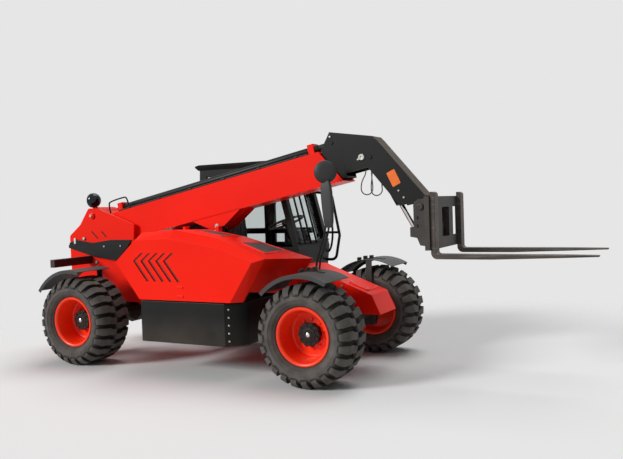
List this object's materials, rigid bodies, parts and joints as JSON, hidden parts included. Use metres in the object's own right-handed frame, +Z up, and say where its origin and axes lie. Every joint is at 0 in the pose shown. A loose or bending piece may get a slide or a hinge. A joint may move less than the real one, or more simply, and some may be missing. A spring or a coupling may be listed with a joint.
{
  "type": "telescopic handler",
  "caption": "Compact telescopic handler with a side cab, engine hood on the other flank, cranked telescopic boom, fork carriage and four steered wheels.",
  "frame": {"origin": "on the ground under the middle of the machine's overall length and width", "axes": "+X forward towards the fork tips, +Y to the machine's left (cab side), +Z up"},
  "size_m": [5.378, 1.85, 2.1021],
  "materials": {
    "red_paint": "gloss",
    "black_paint": "satin",
    "dark_steel": "matt",
    "grey_paint": "satin",
    "chrome": "polished",
    "tyre": "matt",
    "glass": "gloss",
    "seat": "matt",
    "plastic": "satin",
    "hose": "satin",
    "lamp": "gloss",
    "engine": "matt"
  },
  "bodies": {
    "chassis": {"main_frame": "red_paint", "boom_tower": "red_paint", "front_nose": "red_paint", "side_tank": "black_paint", "step_box": "black_paint", "engine_block": "engine", "engine_wall": "black_paint", "drive_line": "engine", "side_trims": "black_paint", "tail_lamps": "lamp", "work_lamp": "plastic", "mirror_post": "plastic", "front_axle": "black_paint", "rear_axle": "black_paint", "cab_frame": "black_paint", "cab_roof": "black_paint", "cab_glass": "glass", "grab_rail": "black_paint", "seat_base": "plastic", "seat_cushion": "seat", "steering_column": "plastic"},
    "door": {"cab_door": "black_paint", "door_glass": "glass"},
    "hood": {"hood": "red_paint"},
    "boom": {"outer_boom": "red_paint", "telescope_barrel": "black_paint"},
    "extension": {"inner_boom": "black_paint", "telescope_rod": "chrome", "hose_right": "hose", "hose_left": "hose"},
    "fork_carriage": {"carriage": "dark_steel", "forks": "dark_steel"},
    "lift_tube": {"lift_barrel": "black_paint"},
    "lift_piston": {"lift_rod": "chrome"},
    "tilt_tube": {"tilt_barrel": "black_paint"},
    "tilt_piston": {"tilt_rod": "chrome"},
    "knuckle_front_right": {"knuckle_front_right": "black_paint", "fender_front_right": "grey_paint"},
    "wheel_front_right": {"tyre_front_right": "tyre", "rim_front_right": "red_paint"},
    "knuckle_front_left": {"knuckle_front_left": "black_paint", "fender_front_left": "grey_paint"},
    "wheel_front_left": {"tyre_front_left": "tyre", "rim_front_left": "red_paint"},
    "knuckle_rear_right": {"knuckle_rear_right": "black_paint", "fender_rear_right": "grey_paint"},
    "wheel_rear_right": {"tyre_rear_right": "tyre", "rim_rear_right": "red_paint"},
    "knuckle_rear_left": {"knuckle_rear_left": "black_paint", "fender_rear_left": "grey_paint"},
    "wheel_rear_left": {"tyre_rear_left": "tyre", "rim_rear_left": "red_paint"}
  },
  "joints": [
    {"name": "boom_lift", "type": "hinge", "parent": "chassis", "child": "boom", "pos_m": [-2.34599, 0, 1.425], "axis": [0, -1, 0], "range_deg": [-14, 44]},
    {"name": "boom_extend", "type": "slide", "parent": "boom", "child": "extension", "axis": [0.981, 0, 0.1942], "range_m": [0, 1.9]},
    {"name": "fork_tilt", "type": "hinge", "parent": "extension", "child": "fork_carriage", "pos_m": [1.28899, 0, 1.42005], "axis": [0, 1, 0], "range_deg": [-25, 60]},
    {"name": "lift_swing", "type": "hinge", "parent": "chassis", "child": "lift_tube", "pos_m": [-2.28099, 0, 0.88], "axis": [0, -1, 0], "range_deg": [-13.32, 39.72]},
    {"name": "lift_stroke", "type": "slide", "parent": "lift_tube", "child": "lift_piston", "axis": [0.9653, 0, 0.2611], "range_m": [-0.1256, 0.384]},
    {"name": "tilt_swing", "type": "hinge", "parent": "extension", "child": "tilt_tube", "pos_m": [0.83899, 0, 1.86005], "axis": [0, 1, 0], "range_deg": [-3.92, 8.02]},
    {"name": "tilt_stroke", "type": "slide", "parent": "tilt_tube", "child": "tilt_piston", "axis": [0.4918, 0, -0.8707], "range_m": [-0.2087, 0.0899]},
    {"name": "door_swing", "type": "hinge", "parent": "chassis", "child": "door", "pos_m": [-0.77099, 0.9, 1.1], "axis": [0, 0, 1], "range_deg": [0, 100]},
    {"name": "hood_lift", "type": "hinge", "parent": "chassis", "child": "hood", "pos_m": [-0.86099, -0.2, 1.282], "axis": [-1, 0, 0], "range_deg": [0, 55]},
    {"name": "steer_front_right", "type": "hinge", "parent": "chassis", "child": "knuckle_front_right", "pos_m": [0.53901, -0.545, 0.42], "axis": [0, 0, 1], "range_deg": [-30, 30]},
    {"name": "roll_front_right", "type": "hinge", "parent": "knuckle_front_right", "child": "wheel_front_right", "pos_m": [0.53901, -0.72, 0.42], "axis": [0, 1, 0], "continuous": true},
    {"name": "steer_front_left", "type": "hinge", "parent": "chassis", "child": "knuckle_front_left", "pos_m": [0.53901, 0.545, 0.42], "axis": [0, 0, 1], "range_deg": [-30, 30]},
    {"name": "roll_front_left", "type": "hinge", "parent": "knuckle_front_left", "child": "wheel_front_left", "pos_m": [0.53901, 0.72, 0.42], "axis": [0, 1, 0], "continuous": true},
    {"name": "steer_rear_right", "type": "hinge", "parent": "chassis", "child": "knuckle_rear_right", "pos_m": [-1.96099, -0.545, 0.42], "axis": [0, 0, 1], "range_deg": [-30, 30]},
    {"name": "roll_rear_right", "type": "hinge", "parent": "knuckle_rear_right", "child": "wheel_rear_right", "pos_m": [-1.96099, -0.72, 0.42], "axis": [0, 1, 0], "continuous": true},
    {"name": "steer_rear_left", "type": "hinge", "parent": "chassis", "child": "knuckle_rear_left", "pos_m": [-1.96099, 0.545, 0.42], "axis": [0, 0, 1], "range_deg": [-30, 30]},
    {"name": "roll_rear_left", "type": "hinge", "parent": "knuckle_rear_left", "child": "wheel_rear_left", "pos_m": [-1.96099, 0.72, 0.42], "axis": [0, 1, 0], "continuous": true}
  ],
  "couplings": [
    {"joint": "lift_swing", "follows": "boom_lift", "ratio": 0.88},
    {"joint": "lift_stroke", "follows": "boom_lift", "m_per_rad": 0.4935},
    {"joint": "tilt_swing", "follows": "fork_tilt", "ratio": 0.117},
    {"joint": "tilt_stroke", "follows": "fork_tilt", "m_per_rad": -0.1945},
    {"joint": "steer_front_right", "follows": "steer_front_left", "ratio": 1},
    {"joint": "steer_rear_right", "follows": "steer_rear_left", "ratio": 1}
  ]
}
